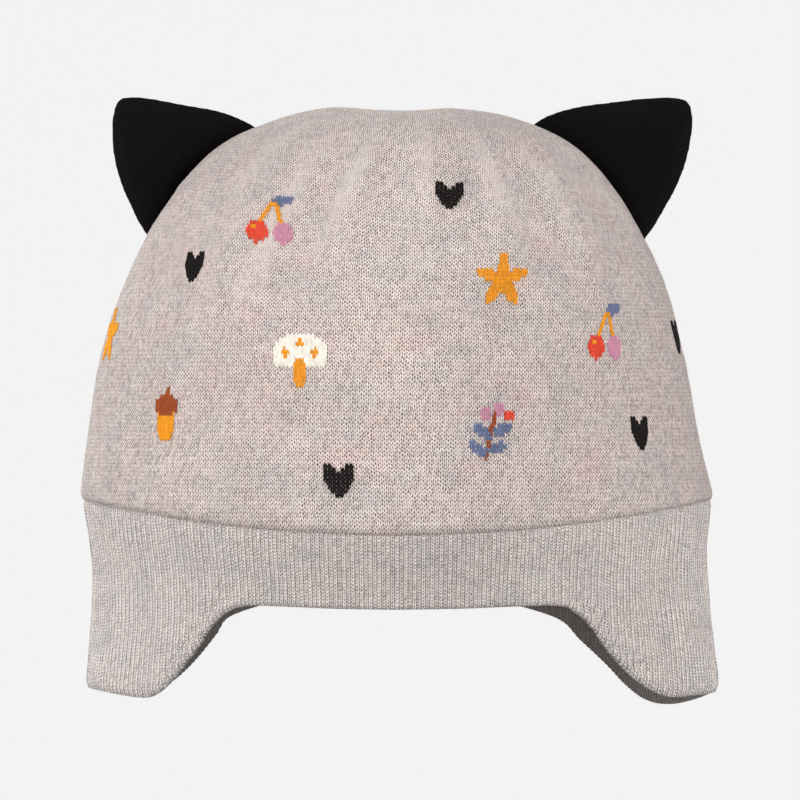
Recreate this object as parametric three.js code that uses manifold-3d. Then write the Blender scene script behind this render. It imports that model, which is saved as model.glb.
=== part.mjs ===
// A baby's knitted hat with earflaps and two padded ears, in the form that it has on a head.
// Millimetres, +Z up, the front faces -Y. The origin is where the top of a head meets the crown.
import * as THREE from 'three';
import { mergeVertices } from 'three/addons/utils/BufferGeometryUtils.js';
import Module from 'manifold-3d';

// Driving dimensions, in millimetres
const HALF_WIDTH = 72.5;          // middle of the hat to its side, over the seam
const FRONT_DEPTH = 80;           // ear line to the forehead, over the seam
const BACK_DEPTH = 84;            // ear line to the back of the head, over the seam
const CROWN_HEIGHT = 85.7;        // inside top of the crown down to the seam at the sides
const SEAM_DIP = 7.6;             // how much lower the seam runs at the front and the back
const BAND_HEIGHT = 16.8;         // seam to the lower edge, at the middle of the forehead
const NAPE_HEIGHT = 15.7;         // the same at the middle of the back
const FLAP_DROP = 18.6;           // lower edge of the band to the lowest part of a flap
const RIGHT_SAG = 3.9;            // how much lower the right flap hangs behind
const CROWN_WALL = 2.6;           // doubled jersey
const BAND_WALL = 2.4;            // rib knit
const CROWN_OVERHANG = 0.6;       // how far the crown stands proud of the band at the seam
const CROWN_LEAN = 1.1;           // how far the crown's lower part leans to the hat's -X side
const EAR_WIDTH = 36;             // along the base of an ear
const EAR_HEIGHT = 26;            // base to tip
const EAR_THICKNESS = 6.4;        // at the middle of the padding
const EAR_DOWN = 13;              // origin down to the middle of an ear's base
const EAR_SINK = 2.6;             // how far an ear's straight base line lies inside the crown
const EAR_SET_BACK = 7;           // middle of an ear behind the hat's middle
const SEAM_GAP = 0.3;             // clearance between pieces that are sewn together

// How finely the surfaces are divided
const CROWN_COLUMNS = 96;
const BAND_COLUMNS = 120;
const STEPS_PER_SECTION = 2;
const CROWN_LINING_STEPS = 1;
const BAND_ROWS = 6;
const BAND_INNER_ROWS = 4;
const EAR_COLUMNS = 22;

// Crown from the seam to the top. up: share of the height, side/front/back: shares of the
// half width and of the two depths, lean: share of the crown's lean.
const CROWN_SECTIONS = [
  { up: 0, side: 1, front: 1, back: 1, lean: 0 },
  { up: 0.16, side: 0.964, front: 0.986, back: 0.998, lean: 0.8 },
  { up: 0.38, side: 0.918, front: 0.952, back: 0.975, lean: 0.95 },
  { up: 0.58, side: 0.84, front: 0.878, back: 0.908, lean: 0.62 },
  { up: 0.74, side: 0.738, front: 0.774, back: 0.806, lean: 0.4 },
  { up: 0.86, side: 0.63, front: 0.652, back: 0.68, lean: 0.15 },
  { up: 0.935, side: 0.515, front: 0.526, back: 0.546, lean: 0 },
  { up: 0.978, side: 0.37, front: 0.376, back: 0.386, lean: 0 },
  { up: 0.996, side: 0.19, front: 0.192, back: 0.196, lean: 0 },
  { up: 1, side: 0, front: 0, back: 0, lean: 0 },
];

// Folds and hollows of the crown. angle: degrees round from the hat's +X side (270 is the
// forehead), lean: degrees that a fold turns from its middle to its upper end, spread: degrees
// either way, top/bottom: shares of the height, rise: share of the wall.
const CROWN_FOLDS = [
  { angle: 233, lean: 0, spread: 11, top: 1, bottom: 0.4, rise: 0.5 },
  { angle: 247.5, lean: 3, spread: 8, top: 1, bottom: 0.42, rise: -0.45 },
  { angle: 259, lean: 3, spread: 8, top: 1, bottom: 0.46, rise: 0.4 },
  { angle: 272, lean: 0, spread: 8, top: 1, bottom: 0.62, rise: -0.2 },
  { angle: 286, lean: 4, spread: 7, top: 0.99, bottom: 0.62, rise: -0.4 },
  { angle: 296, lean: 1, spread: 8, top: 1, bottom: 0.5, rise: 0.5 },
  { angle: 292, lean: 4, spread: 7, top: 0.66, bottom: 0.32, rise: -0.5 },
  { angle: 307, lean: -2, spread: 7, top: 0.98, bottom: 0.6, rise: -0.42 },
  { angle: 318, lean: 0, spread: 10, top: 1, bottom: 0.48, rise: 0.42 },
  { angle: 332, lean: 0, spread: 8, top: 0.98, bottom: 0.6, rise: -0.3 },
  { angle: 345, lean: 0, spread: 9, top: 0.98, bottom: 0.56, rise: 0.3 },
  { angle: 20, lean: 0, spread: 10, top: 0.98, bottom: 0.56, rise: 0.35 },
  { angle: 35, lean: 2, spread: 8, top: 0.98, bottom: 0.6, rise: -0.36 },
  { angle: 50, lean: 1, spread: 10, top: 1, bottom: 0.5, rise: 0.42 },
  { angle: 66, lean: 0, spread: 8, top: 1, bottom: 0.54, rise: -0.4 },
  { angle: 80, lean: -2, spread: 9, top: 1, bottom: 0.46, rise: 0.45 },
  { angle: 94, lean: 0, spread: 8, top: 1, bottom: 0.6, rise: -0.38 },
  { angle: 106, lean: 2, spread: 9, top: 1, bottom: 0.5, rise: 0.4 },
  { angle: 120, lean: 0, spread: 8, top: 1, bottom: 0.56, rise: -0.4 },
  { angle: 134, lean: -2, spread: 10, top: 1, bottom: 0.48, rise: 0.42 },
  { angle: 150, lean: 0, spread: 8, top: 0.98, bottom: 0.6, rise: -0.34 },
  { angle: 163, lean: 0, spread: 9, top: 0.98, bottom: 0.56, rise: 0.3 },
  { angle: 199, lean: 0, spread: 10, top: 0.98, bottom: 0.56, rise: 0.34 },
  { angle: 216, lean: 0, spread: 8, top: 0.98, bottom: 0.54, rise: -0.36 },
  { angle: 226, lean: 0, spread: 38, top: 0.46, bottom: 0.04, rise: -0.5 },
  { angle: 264, lean: 0, spread: 26, top: 0.36, bottom: 0.12, rise: -0.3 },
  { angle: 318, lean: 0, spread: 38, top: 0.5, bottom: 0.06, rise: -0.44 },
  { angle: 84, lean: 0, spread: 48, top: 0.44, bottom: 0.03, rise: -0.5 },
];

// Two soft bumps on top with a dip between them. across: share of the half width, along: share of
// the front depth, spread: share of the half width, rise: share of the wall.
const TOP_BUMPS = [
  { across: -0.165, along: 0, spread: 0.15, rise: 0.62 },
  { across: 0.185, along: 0.02, spread: 0.16, rise: 0.44 },
  { across: -0.03, along: 0, spread: 0.1, rise: -0.42 },
];

// Band and flaps below the seam. down: share of the way to a flap's tip, left/right: share of the
// plan at each side.
const BAND_SECTIONS = [
  { down: 0, left: 1, right: 1 },
  { down: 0.12, left: 0.989, right: 0.993 },
  { down: 0.32, left: 0.971, right: 0.985 },
  { down: 0.55, left: 0.968, right: 0.993 },
  { down: 0.8, left: 0.977, right: 1.012 },
  { down: 1, left: 0.992, right: 1.022 },
];

// Lower edge from the middle of the forehead or the nape to the side. drop: share of the flap's
// drop, the others: where it is reached, as shares of the half width.
const FLAP_EDGE = [
  { drop: -0.09, frontLeft: 0, frontRight: 0, backLeft: 0, backRight: 0 },
  { drop: -0.1, frontLeft: 0.2, frontRight: 0.2, backLeft: 0.15, backRight: 0.14 },
  { drop: -0.13, frontLeft: 0.47, frontRight: 0.5, backLeft: 0.3, backRight: 0.22 },
  { drop: -0.05, frontLeft: 0.555, frontRight: 0.573, backLeft: 0.41, backRight: 0.33 },
  { drop: 0.13, frontLeft: 0.607, frontRight: 0.625, backLeft: 0.57, backRight: 0.538 },
  { drop: 0.35, frontLeft: 0.644, frontRight: 0.661, backLeft: 0.616, backRight: 0.612 },
  { drop: 0.6, frontLeft: 0.691, frontRight: 0.709, backLeft: 0.667, backRight: 0.69 },
  { drop: 0.8, frontLeft: 0.731, frontRight: 0.76, backLeft: 0.715, backRight: 0.745 },
  { drop: 0.94, frontLeft: 0.77, frontRight: 0.815, backLeft: 0.76, backRight: 0.8 },
  { drop: 1, frontLeft: 0.81, frontRight: 0.87, backLeft: 0.81, backRight: 0.87 },
  { drop: 0.98, frontLeft: 0.88, frontRight: 0.985, backLeft: 0.88, backRight: 0.985 },
  { drop: 0.92, frontLeft: 1, frontRight: 1.4, backLeft: 1, backRight: 1.4 },
];

// An ear from below its base to its tip. up: share of the height, outer and inner: shares of the
// half width towards the side and the top of the head, thick: share of the thickness.
const EAR_SECTIONS = [
  { up: -0.34, outer: 0.87, inner: 0.92, thick: 0.9 },
  { up: 0, outer: 0.905, inner: 0.93, thick: 1 },
  { up: 0.2, outer: 0.85, inner: 0.845, thick: 1 },
  { up: 0.4, outer: 0.765, inner: 0.715, thick: 0.96 },
  { up: 0.6, outer: 0.632, inner: 0.53, thick: 0.88 },
  { up: 0.77, outer: 0.468, inner: 0.35, thick: 0.78 },
  { up: 0.9, outer: 0.3, inner: 0.19, thick: 0.62 },
  { up: 0.97, outer: 0.165, inner: 0.06, thick: 0.42 },
  { up: 0.995, outer: 0.09, inner: 0, thick: 0.2 },
];

// The two ears aren't quite alike. side: 1 towards +X, wide and high: shares of the named sizes,
// tilt: degrees of the middle line from upright.
const EARS = [
  { name: 'ear_left', side: -1, wide: 1, high: 0.955, tilt: 42 },
  { name: 'ear_right', side: 1, wide: 1.04, high: 1.04, tilt: 48 },
];

const OAT_JERSEY = 0xcfc2bb;
const OAT_RIB = 0xc2b8b2;
const BLACK_KNIT = 0x171415;

const degrees = Math.PI / 180;
const CROWN_TOP = CROWN_WALL;
const SIDE_SEAM = -CROWN_HEIGHT;
const FLAP_REACH = BAND_HEIGHT + SEAM_DIP + FLAP_DROP;
const NORMAL_STEP = 0.004;

// Value of one column at a place between rows, on a smooth curve through all of them.
function column(rows, name, place) {
  const last = rows.length - 1;
  const index = Math.min(Math.max(Math.floor(place), 0), last - 1);
  const t = place - index;
  const at = (i) => rows[Math.min(Math.max(i, 0), last)][name];
  const slopeIn = index === 0 ? at(1) - at(0) : (at(index + 1) - at(index - 1)) / 2;
  const slopeOut = index + 1 === last ? at(last) - at(last - 1) : (at(index + 2) - at(index)) / 2;
  const t2 = t * t;
  const t3 = t2 * t;
  return at(index) * (2 * t3 - 3 * t2 + 1) + slopeIn * (t3 - 2 * t2 + t)
    + at(index + 1) * (3 * t2 - 2 * t3) + slopeOut * (t3 - t2);
}

// Place between rows at which a rising column has a given value.
function placeOf(rows, name, value) {
  let low = 0;
  let high = rows.length - 1;
  for (let i = 0; i < 30; i += 1) {
    const middle = (low + high) / 2;
    if (column(rows, name, middle) < value) low = middle;
    else high = middle;
  }
  return (low + high) / 2;
}

// A bell from 1 in the middle to 0 at a distance of 1, with no edge.
function bell(distance) {
  const d = Math.min(Math.abs(distance), 1);
  return (1 - d * d) ** 2;
}

// Degrees from one angle to another, the short way round.
function turnBetween(a, b) {
  return ((a - b) % 360 + 540) % 360 - 180;
}

// Height of the seam: lowest over the forehead and the nape, highest at the sides.
function seamHeight(angle) {
  return SIDE_SEAM - SEAM_DIP * Math.sin(angle) ** 2;
}

// Point of the crown's outer face before its folds.
function crownForm(angle, place) {
  const up = column(CROWN_SECTIONS, 'up', place);
  const seam = seamHeight(angle);
  const front = Math.sin(angle) < 0;
  const depth = front ? FRONT_DEPTH : BACK_DEPTH;
  const lean = -CROWN_LEAN * column(CROWN_SECTIONS, 'lean', place);
  const x = HALF_WIDTH * column(CROWN_SECTIONS, 'side', place) * Math.cos(angle) + lean;
  const y = depth * column(CROWN_SECTIONS, front ? 'front' : 'back', place) * Math.sin(angle);
  return new THREE.Vector3(x, y, seam + up * (CROWN_TOP - seam));
}

// How far the folds and the bumps lift the crown's outer face.
function foldLift(angle, place, point) {
  const up = column(CROWN_SECTIONS, 'up', place);
  let lift = 0;
  for (const fold of CROWN_FOLDS) {
    const along = (2 * up - fold.top - fold.bottom) / (fold.top - fold.bottom);
    const across = turnBetween(angle / degrees, fold.angle + fold.lean * along) / fold.spread;
    lift += CROWN_WALL * fold.rise * bell(across) * bell(along);
  }
  for (const bump of TOP_BUMPS) {
    const dx = point.x - bump.across * HALF_WIDTH;
    const dy = point.y - bump.along * FRONT_DEPTH;
    lift += CROWN_WALL * bump.rise * bell(Math.hypot(dx, dy) / (2 * bump.spread * HALF_WIDTH));
  }
  return lift;
}

// Direction out of a surface, from two short steps along it.
function outward(surface, angle, place) {
  const alongAngle = surface(angle + NORMAL_STEP, place).sub(surface(angle - NORMAL_STEP, place));
  const above = surface(angle, place + NORMAL_STEP);
  const alongPlace = above.sub(surface(angle, place - NORMAL_STEP));
  return alongAngle.cross(alongPlace).normalize();
}

// Crown at a distance outside its outer face. Near the seam it moves level, so that its rim
// keeps the seam's height, and at the top straight up.
function crownPoint(angle, place, distance) {
  const last = CROWN_SECTIONS.length - 1;
  const point = crownForm(angle, place);
  const lift = foldLift(angle, place, point);
  const normal = new THREE.Vector3(0, 0, 1);
  if (place < last) normal.copy(outward(crownForm, angle, Math.max(place, NORMAL_STEP)));
  if (place < 1) {
    normal.z *= place;
    normal.normalize();
  }
  return point.addScaledVector(normal, lift + distance);
}

// Height of the lower edge of the band and its flaps.
function edgeHeight(angle) {
  const front = Math.sin(angle) < 0;
  const side = (front ? 'front' : 'back') + (Math.cos(angle) < 0 ? 'Left' : 'Right');
  const drop = column(FLAP_EDGE, 'drop', placeOf(FLAP_EDGE, side, Math.abs(Math.cos(angle))));
  const height = front ? BAND_HEIGHT : NAPE_HEIGHT;
  const level = THREE.MathUtils.lerp(height, BAND_HEIGHT, Math.abs(Math.cos(angle)));
  const behind = front || Math.cos(angle) < 0 ? 0 : Math.max(drop, 0);
  const sag = RIGHT_SAG * behind * (1 - Math.cos(angle) ** 16);
  return SIDE_SEAM - SEAM_DIP - level - FLAP_DROP * (drop - FLAP_EDGE[0].drop) - sag;
}

// Point of the band at a share of the way from the seam to the lower edge.
function bandPoint(angle, share, inset) {
  const top = seamHeight(angle) - SEAM_GAP;
  const z = THREE.MathUtils.lerp(top, edgeHeight(angle), share);
  const place = placeOf(BAND_SECTIONS, 'down', (top - z) / FLAP_REACH);
  const left = column(BAND_SECTIONS, 'left', place);
  const right = column(BAND_SECTIONS, 'right', place);
  const out = THREE.MathUtils.lerp(left, right, (1 + Math.cos(angle)) / 2);
  const depth = Math.sin(angle) < 0 ? FRONT_DEPTH : BACK_DEPTH;
  const x = HALF_WIDTH * out * Math.cos(angle);
  const y = depth * out * Math.sin(angle);
  const level = new THREE.Vector3(x / HALF_WIDTH ** 2, y / depth ** 2, 0).normalize();
  return new THREE.Vector3(x, y, z).addScaledVector(level, -CROWN_OVERHANG - inset);
}

// Closed mesh from rings of equally many points. A ring of one point is a pole, and the last
// ring is joined to the first one unless both ends are poles.
function meshOfRings(rings, columns) {
  const position = [];
  const index = [];
  const starts = rings.map((ring) => {
    const start = position.length / 3;
    for (const point of ring) position.push(point.x, point.y, point.z);
    return start;
  });
  const open = rings[0].length === 1;
  const count = open ? rings.length - 1 : rings.length;
  for (let r = 0; r < count; r += 1) {
    const next = (r + 1) % rings.length;
    const low = (c) => starts[r] + (rings[r].length === 1 ? 0 : c % columns);
    const high = (c) => starts[next] + (rings[next].length === 1 ? 0 : c % columns);
    for (let c = 0; c < columns; c += 1) {
      if (rings[r].length > 1) index.push(low(c), low(c + 1), high(c));
      if (rings[next].length > 1) index.push(low(c + 1), high(c + 1), high(c));
    }
  }
  const geometry = new THREE.BufferGeometry();
  geometry.setAttribute('position', new THREE.Float32BufferAttribute(position, 3));
  geometry.setIndex(index);
  return geometry;
}

// One ring of points round the hat.
function ring(columns, pointAt) {
  const points = [];
  for (let c = 0; c < columns; c += 1) points.push(pointAt(c / columns * 2 * Math.PI));
  return points;
}

// Places from the seam up to the row before the top.
function crownPlaces(steps) {
  const last = CROWN_SECTIONS.length - 1;
  const places = [];
  for (let i = 0; i < last * steps; i += 1) places.push(i / steps);
  return places;
}

// The crown is one wall: up its inner face from the pole to the rim and over to the outer face.
function crownGeometry() {
  const last = CROWN_SECTIONS.length - 1;
  const inner = crownPlaces(CROWN_LINING_STEPS).reverse();
  const outer = crownPlaces(STEPS_PER_SECTION);
  const rings = [
    [crownPoint(0, last, -CROWN_WALL)],
    ...inner.map((place) => ring(CROWN_COLUMNS, (angle) => crownPoint(angle, place, -CROWN_WALL))),
    ...outer.map((place) => ring(CROWN_COLUMNS, (angle) => crownPoint(angle, place, 0))),
    [crownPoint(0, last, 0)],
  ];
  return meshOfRings(rings, CROWN_COLUMNS);
}

// The space that the crown fills with its hollow, a clearance larger, for cutting what sits on it.
function crownSpaceGeometry() {
  const last = CROWN_SECTIONS.length - 1;
  const rings = [
    [new THREE.Vector3(0, 0, SIDE_SEAM)],
    ...crownPlaces(STEPS_PER_SECTION).map((place) => (
      ring(CROWN_COLUMNS, (angle) => crownPoint(angle, place, SEAM_GAP)))),
    [crownPoint(0, last, SEAM_GAP)],
  ];
  return meshOfRings(rings, CROWN_COLUMNS);
}

// The band and both flaps are one wall: up its outer face and down its inner face.
function bandGeometry() {
  const rings = [];
  for (let i = 0; i <= BAND_ROWS; i += 1) {
    rings.push(ring(BAND_COLUMNS, (angle) => bandPoint(angle, 1 - i / BAND_ROWS, 0)));
  }
  for (let i = 0; i <= BAND_INNER_ROWS; i += 1) {
    rings.push(ring(BAND_COLUMNS, (angle) => bandPoint(angle, i / BAND_INNER_ROWS, BAND_WALL)));
  }
  return meshOfRings(rings, BAND_COLUMNS);
}

// An ear before its base is cut to the crown: lens-shaped sections from below its base to its tip,
// standing on the origin of its own frame and facing -Y, with its outer side towards +X.
function earGeometry(wide, high) {
  const last = EAR_SECTIONS.length - 1;
  const half = wide * EAR_WIDTH / 2;
  const section = (place) => ring(EAR_COLUMNS, (angle) => new THREE.Vector3(
    half * column(EAR_SECTIONS, Math.cos(angle) > 0 ? 'outer' : 'inner', place) * Math.cos(angle),
    EAR_THICKNESS / 2 * column(EAR_SECTIONS, 'thick', place) * Math.sin(angle),
    high * EAR_HEIGHT * column(EAR_SECTIONS, 'up', place),
  ));
  const rings = [[new THREE.Vector3(0, 0, high * EAR_HEIGHT * EAR_SECTIONS[0].up)]];
  for (let i = 0; i <= last * STEPS_PER_SECTION; i += 1) rings.push(section(i / STEPS_PER_SECTION));
  const tip = EAR_SECTIONS[last];
  rings.push([new THREE.Vector3(half * (tip.outer - tip.inner) / 2, 0, high * EAR_HEIGHT)]);
  return meshOfRings(rings, EAR_COLUMNS);
}

const wasm = await Module();
wasm.setup();

// A closed geometry as a solid that can be cut.
function solidOf(geometry) {
  const merged = mergeVertices(geometry);
  return new wasm.Manifold(new wasm.Mesh({
    numProp: 3,
    vertProperties: new Float32Array(merged.attributes.position.array),
    triVerts: new Uint32Array(merged.index.array),
  }));
}

// The geometry of a solid.
function geometryOf(solid) {
  const mesh = solid.getMesh();
  const geometry = new THREE.BufferGeometry();
  geometry.setAttribute('position', new THREE.BufferAttribute(mesh.vertProperties, 3));
  geometry.setIndex(new THREE.BufferAttribute(mesh.triVerts, 1));
  return geometry;
}

// A named piece with smooth shading.
function piece(name, geometry, color, roughness) {
  geometry.computeVertexNormals();
  const material = new THREE.MeshStandardMaterial({ color, roughness, metalness: 0 });
  const mesh = new THREE.Mesh(geometry, material);
  mesh.name = name;
  return mesh;
}

// An ear leans out from the crown. Its base follows the crown with the clearance between them.
function ear({ name, side, wide, high, tilt }) {
  const up = (CROWN_HEIGHT - EAR_DOWN) / (CROWN_HEIGHT + CROWN_TOP);
  const seat = crownForm(side > 0 ? 0 : Math.PI, placeOf(CROWN_SECTIONS, 'up', up));
  const turn = new THREE.Matrix4().makeRotationY(tilt * degrees);
  const face = new THREE.Matrix4().makeRotationZ(side > 0 ? 0 : Math.PI);
  const out = new THREE.Matrix4().makeTranslation(seat.x - side * EAR_SINK, EAR_SET_BACK, seat.z);
  const standing = earGeometry(wide, high).applyMatrix4(out.multiply(face).multiply(turn));
  const cut = solidOf(standing).subtract(solidOf(crownSpaceGeometry()));
  return piece(name, geometryOf(cut), BLACK_KNIT, 0.95);
}

const hat = new THREE.Group();
hat.add(piece('crown', crownGeometry(), OAT_JERSEY, 0.92));
hat.add(piece('rib_band', bandGeometry(), OAT_RIB, 0.92));
for (const row of EARS) hat.add(ear(row));

export default hat;
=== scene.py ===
"""A baby's knitted hat: jersey crown, rib band with earflaps, and two padded ears.

The hat hangs in the air, filled out as when it is worn. Metres, +Z up, the front faces -Y.
"""

import functools
import math

import bmesh
import bpy
import numpy as np
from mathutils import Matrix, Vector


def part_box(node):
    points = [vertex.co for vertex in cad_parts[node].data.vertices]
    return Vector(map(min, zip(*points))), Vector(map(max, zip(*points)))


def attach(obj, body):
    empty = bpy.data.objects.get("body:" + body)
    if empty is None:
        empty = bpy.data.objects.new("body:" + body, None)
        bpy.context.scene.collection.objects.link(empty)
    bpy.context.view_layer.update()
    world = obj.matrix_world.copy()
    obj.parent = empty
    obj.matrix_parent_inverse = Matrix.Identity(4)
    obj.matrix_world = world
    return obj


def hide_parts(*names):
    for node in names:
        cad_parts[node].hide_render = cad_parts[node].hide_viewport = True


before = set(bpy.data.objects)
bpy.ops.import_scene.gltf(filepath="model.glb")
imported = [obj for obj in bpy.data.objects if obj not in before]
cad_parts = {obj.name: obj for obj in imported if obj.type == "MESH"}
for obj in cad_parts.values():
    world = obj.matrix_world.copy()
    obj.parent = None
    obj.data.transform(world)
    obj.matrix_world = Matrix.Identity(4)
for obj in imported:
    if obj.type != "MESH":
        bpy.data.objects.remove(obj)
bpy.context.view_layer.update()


def table(columns, rows):
    """Rows as dictionaries, with the names of the columns given once."""
    return [dict(zip(columns.split(), row)) for row in rows]


MM = 0.001
SEED = 11

# Sizes from the frame
crown_low, crown_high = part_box("crown")
HALF_WIDTH = crown_high[0]
FRONT_DEPTH = -crown_low[1]
BACK_DEPTH = crown_high[1]

# Sizes of the hat
SEAM_DIP = 7.6 * MM            # how much lower the seam runs at front and back
SIDE_SEAM = crown_low[2] + SEAM_DIP
CROWN_TOP = 2.6 * MM
BAND_HEIGHT = 16.8 * MM
NAPE_HEIGHT = 15.7 * MM
FLAP_DROP = 18.6 * MM
FLAP_REACH = BAND_HEIGHT + SEAM_DIP + FLAP_DROP
CROWN_WALL = 2.6 * MM
BAND_WALL = 2.4 * MM
CROWN_OVERHANG = 0.6 * MM
CROWN_LEAN = 1.1 * MM
SEAM_GAP = 0.3 * MM
RIGHT_SAG = 3.9 * MM           # how much lower the right flap hangs behind

# Knit
WALE = 0.99 * MM               # one column of jersey stitches
COURSE = 0.92 * MM             # one row of jersey stitches
RIB_COUNT = 448
RIB_DEPTH = 0.32 * MM
RIB_COURSE = 0.72 * MM
EAR_WALE = 0.95 * MM
EAR_COURSE = 0.8 * MM
KNIT_START = 500.0               # keeps the numbers of wales and courses above zero

# Noise scales are repeats a metre of cloth: 70, 90 and 105 for patches of yarn 14 to 9.5 mm wide,
# 130 and 420 for the sway of wales over 7.7 mm and of stitches over 2.4 mm, 950 for specks of 1 mm,
# and 2600 to 3400 for fibres of 0.4 to 0.3 mm, drawn coarser than real ones so that they show.
FIBRES = {"Scale": 3400.0, "Detail": 3.0, "Roughness": 0.7}

# Grids
CROWN_COLUMNS = 480
CROWN_ROWS = 130
CROWN_INNER_ROWS = 30
BAND_COLUMNS = RIB_COUNT * 4
BAND_ROWS = 34
BAND_INNER_ROWS = 13
PLACE_STEP = 0.004               # short step along a table's rows or round the hat
MOTIF_REACH = 9                  # stitches either way from a motif's middle
SEARCH_ROUNDS = 12               # steps by which a stitch finds its place on the crown

# Ears
EAR_ROOT_OUT = 45 * MM
EAR_ROOT_HEIGHT = -14 * MM
EAR_FULLNESS = 1.05
EAR_SCALE = 20                   # how much larger an ear is while it swells
SWELL_FRAMES = 20

# Stage
STAGE_SIDES = 96
PAPER_GLOW = 0.63                # the paper's own light, so that it is as pale as in the photograph

# Crown from the seam to the top. up: share of the height, side, front and back: shares of the
# half width and of the two depths, lean: share of the crown's lean.
CROWN_SECTIONS = table("up side front back lean", [
    (0, 1, 1, 1, 0), (0.16, 0.964, 0.986, 0.998, 0.8), (0.38, 0.918, 0.952, 0.975, 0.95),
    (0.58, 0.84, 0.878, 0.908, 0.62), (0.74, 0.738, 0.774, 0.806, 0.4),
    (0.86, 0.63, 0.652, 0.68, 0.15), (0.935, 0.515, 0.526, 0.546, 0),
    (0.978, 0.37, 0.376, 0.386, 0), (0.996, 0.19, 0.192, 0.196, 0), (1, 0, 0, 0, 0),
])

# Folds and hollows of the crown. angle: degrees round from +X (270 is the middle of the front),
# lean: degrees that a fold turns from its middle to its upper end, spread: degrees either way,
# top and bottom: shares of the height, rise: share of the wall.
CROWN_FOLDS = table("angle lean spread top bottom rise", [
    (233, 0, 11, 1, 0.4, 0.5), (247.5, 3, 8, 1, 0.42, -0.45), (259, 3, 8, 1, 0.46, 0.4),
    (272, 0, 8, 1, 0.62, -0.2), (286, 4, 7, 0.99, 0.62, -0.4), (296, 1, 8, 1, 0.5, 0.5),
    (292, 4, 7, 0.66, 0.32, -0.5), (307, -2, 7, 0.98, 0.6, -0.42), (318, 0, 10, 1, 0.48, 0.42),
    (332, 0, 8, 0.98, 0.6, -0.3), (345, 0, 9, 0.98, 0.56, 0.3), (20, 0, 10, 0.98, 0.56, 0.35),
    (35, 2, 8, 0.98, 0.6, -0.36), (50, 1, 10, 1, 0.5, 0.42), (66, 0, 8, 1, 0.54, -0.4),
    (80, -2, 9, 1, 0.46, 0.45), (94, 0, 8, 1, 0.6, -0.38), (106, 2, 9, 1, 0.5, 0.4),
    (120, 0, 8, 1, 0.56, -0.4), (134, -2, 10, 1, 0.48, 0.42), (150, 0, 8, 0.98, 0.6, -0.34),
    (163, 0, 9, 0.98, 0.56, 0.3), (199, 0, 10, 0.98, 0.56, 0.34), (216, 0, 8, 0.98, 0.54, -0.36),
    (226, 0, 38, 0.46, 0.04, -0.5), (264, 0, 26, 0.36, 0.12, -0.3),
    (318, 0, 38, 0.5, 0.06, -0.44), (84, 0, 48, 0.44, 0.03, -0.5),
    # Narrow creases and small wrinkles
    (241, 3, 3.2, 0.97, 0.6, -0.13), (256.5, 2, 3.4, 0.76, 0.42, -0.2),
    (266, 3, 2.6, 0.97, 0.7, -0.14), (278, 1, 3, 0.97, 0.68, 0.14),
    (301, -3, 3, 0.92, 0.62, -0.16), (312, -6, 3.4, 0.8, 0.48, -0.15),
    (238, 5, 5, 0.5, 0.2, 0.14), (304, -5, 6, 0.46, 0.16, 0.16), (74, 3, 3, 0.97, 0.6, -0.15),
    (101, -3, 3, 0.95, 0.62, -0.15),
])

# Pressed creases, where the stitches close up and look smooth and pale. The columns are those of
# the folds, and pressed: share of the full effect.
PRESSED_CREASES = table("angle lean spread top bottom pressed", [
    (241, 5, 5, 1.04, 0.42, 0.8), (258, 7, 3.6, 1.04, 0.6, 0.9), (296.5, 1, 4, 1.04, 0.64, 0.8),
    (280, 3, 3.6, 1.06, 0.76, 0.6), (226, 4, 4, 1.04, 0.7, 0.6), (314, -3, 4, 1.04, 0.6, 0.5),
    (62, -3, 4.6, 1.04, 0.5, 0.8), (88, 2, 3.6, 1.04, 0.66, 0.7), (117, 4, 4.6, 1.04, 0.54, 0.8),
])

# Two soft bumps on top with a dip between them. across: share of the half width, along: share of
# the front depth, spread: share of the half width, rise: share of the wall.
TOP_BUMPS = table("across along spread rise", [
    (-0.165, 0, 0.15, 0.62), (0.185, 0.02, 0.16, 0.44), (-0.03, 0, 0.1, -0.42),
])

# Band and flaps below the seam. down: share of the way to a flap's tip, left and right: share of
# the plan at each side.
BAND_SECTIONS = table("down left right", [
    (0, 1, 1), (0.12, 0.989, 0.993), (0.32, 0.971, 0.985), (0.55, 0.968, 0.993),
    (0.8, 0.977, 1.012), (1, 0.992, 1.022),
])

# Lower edge from the middle of the front or the back to the side. drop: share of the flap's
# drop, the others: where it is reached, as shares of the half width.
FLAP_EDGE = table("drop front_left front_right back_left back_right", [
    (-0.09, 0, 0, 0, 0), (-0.1, 0.2, 0.2, 0.15, 0.14), (-0.13, 0.47, 0.5, 0.3, 0.22),
    (-0.05, 0.555, 0.573, 0.41, 0.33), (0.13, 0.607, 0.625, 0.57, 0.538),
    (0.35, 0.644, 0.661, 0.616, 0.612), (0.6, 0.691, 0.709, 0.667, 0.69),
    (0.8, 0.731, 0.76, 0.715, 0.745), (0.94, 0.77, 0.815, 0.76, 0.8), (1, 0.81, 0.87, 0.81, 0.87),
    (0.98, 0.88, 0.985, 0.88, 0.985), (0.92, 1, 1.4, 1, 1.4),
])

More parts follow.
